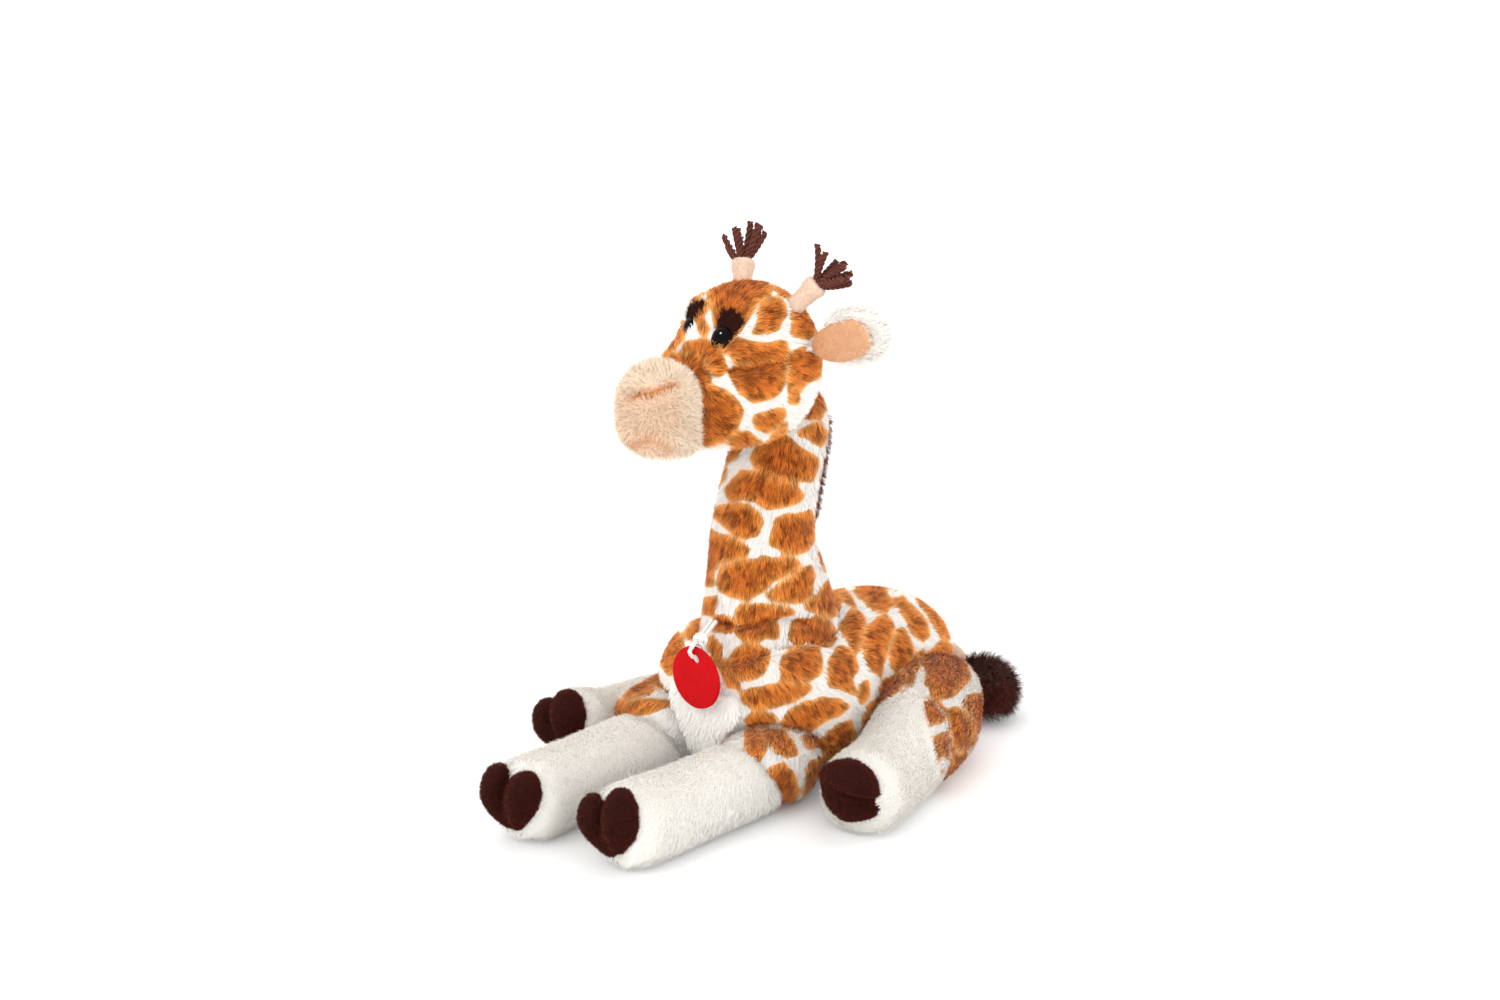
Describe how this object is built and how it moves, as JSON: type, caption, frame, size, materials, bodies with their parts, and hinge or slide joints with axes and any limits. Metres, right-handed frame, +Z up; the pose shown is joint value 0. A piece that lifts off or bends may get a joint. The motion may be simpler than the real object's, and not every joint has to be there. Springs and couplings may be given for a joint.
{
  "type": "plush giraffe",
  "caption": "Stuffed plush giraffe lying on its belly with outstretched legs, spotted coat, velour hooves, yarn-tipped horns, curled tail and a bare round felt hang tag.",
  "frame": {"origin": "on the floor under the middle of the belly, where the toy rests", "axes": "+Z up, -Y the way the toy faces, +X the toy's left"},
  "size_m": [0.2385, 0.3497, 0.3142],
  "materials": {
    "spotted_plush": "short cut pile plush, brown patches on warm white",
    "white_plush": "short cut pile plush",
    "muzzle_plush": "longer brushed pile plush",
    "mane_plush": "upright pile plush",
    "tan_velour": "velour",
    "brown_velour": "velour",
    "brown_yarn": "twisted yarn",
    "tail_plush": "long pile plush",
    "black_gloss": "polished",
    "washer_plastic": "moulded",
    "red_felt": "stiff felt",
    "white_cord": "twisted cord"
  },
  "bodies": {
    "torso": {"torso": "spotted_plush", "belly_panel": "white_plush"},
    "neck": {"neck": "spotted_plush", "mane": "mane_plush"},
    "head": {"head": "spotted_plush", "muzzle": "muzzle_plush", "ossicone_left": "tan_velour", "ossicone_right": "tan_velour", "yarn_tuft_left": "brown_yarn", "yarn_tuft_right": "brown_yarn", "eye_left": "black_gloss", "eye_right": "black_gloss", "eye_washer_left": "washer_plastic", "eye_washer_right": "washer_plastic", "lash_patch_left": "brown_velour", "lash_patch_right": "brown_velour"},
    "ear_left": {"ear_left": "white_plush", "ear_lining_left": "tan_velour"},
    "ear_right": {"ear_right": "white_plush", "ear_lining_right": "tan_velour"},
    "front_leg_left": {"shoulder_left": "spotted_plush", "front_leg_left": "white_plush", "hoof_front_left": "brown_velour"},
    "front_leg_right": {"shoulder_right": "spotted_plush", "front_leg_right": "white_plush", "hoof_front_right": "brown_velour"},
    "hind_leg_left": {"thigh_left": "spotted_plush", "hind_leg_left": "white_plush", "hoof_hind_left": "brown_velour"},
    "hind_leg_right": {"thigh_right": "spotted_plush", "hind_leg_right": "white_plush", "hoof_hind_right": "brown_velour"},
    "tail": {"tail": "tan_velour", "tail_tuft": "tail_plush"},
    "tag": {"tag_disc": "red_felt", "tag_cord": "white_cord", "tag_knot": "white_cord"}
  },
  "joints": [
    {"name": "neck_sway", "type": "hinge", "parent": "torso", "child": "neck", "pos_m": [0, -0.034, 0.08], "axis": [0, 1, 0], "range_deg": [-10, 10], "stiffness_Nm_per_rad": 4},
    {"name": "head_nod", "type": "hinge", "parent": "neck", "child": "head", "pos_m": [0, -0.021, 0.205], "axis": [0.9848, -0.1736, 0], "range_deg": [-12, 15], "stiffness_Nm_per_rad": 2.5},
    {"name": "ear_left_flap", "type": "hinge", "parent": "head", "child": "ear_left", "pos_m": [0.03502, -0.04331, 0.25573], "axis": [0.3362, 0.1723, -0.9259], "range_deg": [-15, 15], "stiffness_Nm_per_rad": 0.06},
    {"name": "ear_right_flap", "type": "hinge", "parent": "head", "child": "ear_right", "pos_m": [-0.03028, -0.0318, 0.25573], "axis": [-0.1378, -0.0155, 0.9903], "range_deg": [-15, 15], "stiffness_Nm_per_rad": 0.06},
    {"name": "front_leg_left_swing", "type": "hinge", "parent": "torso", "child": "front_leg_left", "pos_m": [0.037, -0.07, 0.023], "axis": [1, 0, 0], "range_deg": [-20, 5], "stiffness_Nm_per_rad": 1},
    {"name": "front_leg_right_swing", "type": "hinge", "parent": "torso", "child": "front_leg_right", "pos_m": [-0.037, -0.07, 0.023], "axis": [1, 0, 0], "range_deg": [-20, 5], "stiffness_Nm_per_rad": 1},
    {"name": "hind_leg_left_swing", "type": "hinge", "parent": "torso", "child": "hind_leg_left", "pos_m": [0.046, 0.042, 0.032], "axis": [1, 0, 0], "range_deg": [-25, 15], "stiffness_Nm_per_rad": 1.2},
    {"name": "hind_leg_right_swing", "type": "hinge", "parent": "torso", "child": "hind_leg_right", "pos_m": [-0.046, 0.042, 0.032], "axis": [1, 0, 0], "range_deg": [-25, 15], "stiffness_Nm_per_rad": 1.2},
    {"name": "tail_swing", "type": "hinge", "parent": "torso", "child": "tail", "pos_m": [0, 0.1, 0.042], "axis": [0, 0, 1], "range_deg": [-15, 30], "stiffness_Nm_per_rad": 0.08},
    {"name": "tag_swing", "type": "hinge", "parent": "neck", "child": "tag", "pos_m": [-0.004, -0.07596, 0.099], "axis": [1, 0, 0], "range_deg": [-60, 0]}
  ]
}
